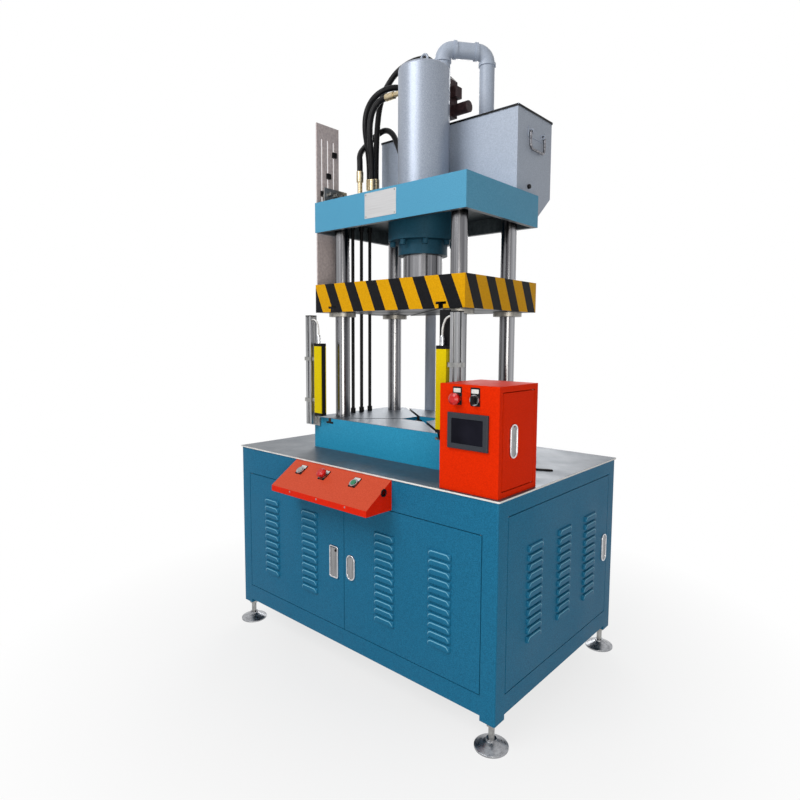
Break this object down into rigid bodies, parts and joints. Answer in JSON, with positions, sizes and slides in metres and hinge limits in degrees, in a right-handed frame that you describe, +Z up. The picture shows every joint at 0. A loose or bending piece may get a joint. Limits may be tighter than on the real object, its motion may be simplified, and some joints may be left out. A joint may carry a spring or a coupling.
{
  "type": "four_column_hydraulic_press",
  "caption": "Four-column hydraulic press on a blue louvred cabinet, with an overhead cylinder and tank, light curtains, a two-hand console and a control box",
  "frame": {"origin": "on the floor, below the middle of the whole footprint", "axes": "+Z up along the columns, the front with the console faces -Y, +X to the right seen from the front"},
  "size_m": [1.404, 1.0198, 2.5565],
  "materials": {
    "blue_paint": "hammered",
    "light_blue_paint": "satin",
    "orange_paint": "satin",
    "grey_paint": "satin",
    "hazard_paint": "satin",
    "black_metal": "satin",
    "ground_steel": "ground",
    "zinc_steel": "plated",
    "chrome": "polished",
    "bronze": "machined",
    "brass": "machined",
    "black_rubber": "matt",
    "aluminium": "anodised",
    "yellow_paint": "gloss",
    "black_plastic": "matt",
    "grey_plastic": "matt",
    "white_plastic": "gloss",
    "green_plastic": "gloss",
    "red_plastic": "gloss",
    "screen_glass": "gloss"
  },
  "bodies": {
    "frame": {"cabinet_posts": "blue_paint", "cabinet_rails": "blue_paint", "cabinet_floor": "blue_paint", "cabinet_top_plate": "ground_steel", "cabinet_panels": "blue_paint", "hinge_pins": "zinc_steel", "foot_pads": "chrome", "foot_screws": "zinc_steel", "bed_top": "light_blue_paint", "bed_walls": "light_blue_paint", "columns": "chrome", "column_nuts": "zinc_steel", "crown_deck": "light_blue_paint", "crown_skirt": "light_blue_paint", "cylinder_barrel": "grey_paint", "cylinder_flange": "light_blue_paint", "gland_ring": "light_blue_paint", "flange_bolts": "light_blue_paint", "oil_tank": "grey_paint", "tank_lid": "grey_paint", "fill_pipe": "grey_paint", "valve_block": "black_metal", "riser_pipes": "black_metal", "suction_pipe": "grey_paint", "hose_1": "black_rubber", "hose_2": "black_rubber", "hose_3": "black_rubber", "hose_4": "black_rubber", "hose_fittings": "brass", "switch_bracket": "zinc_steel", "curtain_posts": "aluminium", "curtain_brackets": "zinc_steel", "curtain_housings": "yellow_paint", "curtain_caps": "black_plastic", "curtain_cables": "white_plastic", "console_body": "orange_paint", "control_bezels": "chrome", "control_box": "orange_paint", "screen_frame": "grey_plastic", "screen_glass": "screen_glass", "motor_pump": "black_metal"},
    "slide": {"piston_rod": "chrome", "slide_block": "hazard_paint", "guide_bushes": "bronze", "trip_plate": "zinc_steel", "trip_dogs": "black_metal"},
    "left_door": {"front_door_left": "blue_paint"},
    "right_door": {"front_door_right": "blue_paint"},
    "side_door": {"side_door": "blue_paint"},
    "box_door": {"box_door": "orange_paint"},
    "left_paddle": {"front_latch_left": "chrome"},
    "right_paddle": {"front_latch_right": "chrome"},
    "side_paddle": {"side_latch": "chrome"},
    "box_paddle": {"box_latch": "chrome"},
    "left_button": {"console_button_left": "white_plastic"},
    "right_button": {"console_button_right": "green_plastic"},
    "stop_button": {"console_stop": "red_plastic"},
    "box_button": {"box_button": "red_plastic"},
    "selector": {"box_selector": "black_plastic"},
    "handle": {"tank_handle": "chrome"}
  },
  "joints": [
    {"name": "slide_travel", "type": "slide", "parent": "frame", "child": "slide", "axis": [0, 0, -1], "range_m": [0, 0.3]},
    {"name": "left_door_hinge", "type": "hinge", "parent": "frame", "child": "left_door", "pos_m": [-0.61, -0.381, 0.427], "axis": [0, 0, -1], "range_deg": [0, 100]},
    {"name": "right_door_hinge", "type": "hinge", "parent": "frame", "child": "right_door", "pos_m": [0.61, -0.381, 0.427], "axis": [0, 0, 1], "range_deg": [0, 100]},
    {"name": "side_door_hinge", "type": "hinge", "parent": "frame", "child": "side_door", "pos_m": [0.669, -0.322, 0.455], "axis": [0, 0, -1], "range_deg": [0, 100]},
    {"name": "box_door_hinge", "type": "hinge", "parent": "frame", "child": "box_door", "pos_m": [0.661, -0.178, 0.97], "axis": [0, 0, 1], "range_deg": [0, 100]},
    {"name": "left_latch", "type": "hinge", "parent": "left_door", "child": "left_paddle", "pos_m": [-0.058, -0.3913, 0.4795], "axis": [-1, 0, 0], "range_deg": [0, 35]},
    {"name": "right_latch", "type": "hinge", "parent": "right_door", "child": "right_paddle", "pos_m": [0.036, -0.3913, 0.465], "axis": [-1, 0, 0], "range_deg": [0, 35]},
    {"name": "side_latch_hinge", "type": "hinge", "parent": "side_door", "child": "side_paddle", "pos_m": [0.6793, 0.391, 0.495], "axis": [0, -1, 0], "range_deg": [0, 35]},
    {"name": "box_latch_hinge", "type": "hinge", "parent": "box_door", "child": "box_paddle", "pos_m": [0.6703, -0.301, 1.0125], "axis": [0, -1, 0], "range_deg": [0, 35]},
    {"name": "left_button_press", "type": "slide", "parent": "frame", "child": "left_button", "axis": [0, 0.564, -0.8258], "range_m": [0, 0.005], "stiffness_N_per_m": 900},
    {"name": "right_button_press", "type": "slide", "parent": "frame", "child": "right_button", "axis": [0, 0.564, -0.8258], "range_m": [0, 0.005], "stiffness_N_per_m": 900},
    {"name": "stop_press", "type": "slide", "parent": "frame", "child": "stop_button", "axis": [0, 0.564, -0.8258], "range_m": [0, 0.006], "stiffness_N_per_m": 900},
    {"name": "box_button_press", "type": "slide", "parent": "frame", "child": "box_button", "axis": [0, 1, 0], "range_m": [0, 0.005], "stiffness_N_per_m": 900},
    {"name": "selector_turn", "type": "hinge", "parent": "frame", "child": "selector", "pos_m": [0.579, -0.378, 1.095], "axis": [0, -1, 0], "range_deg": [-45, 45]},
    {"name": "handle_lift", "type": "hinge", "parent": "frame", "child": "handle", "pos_m": [0.362, 0.346, 2.11], "axis": [0, -1, 0], "range_deg": [0, 95]}
  ]
}
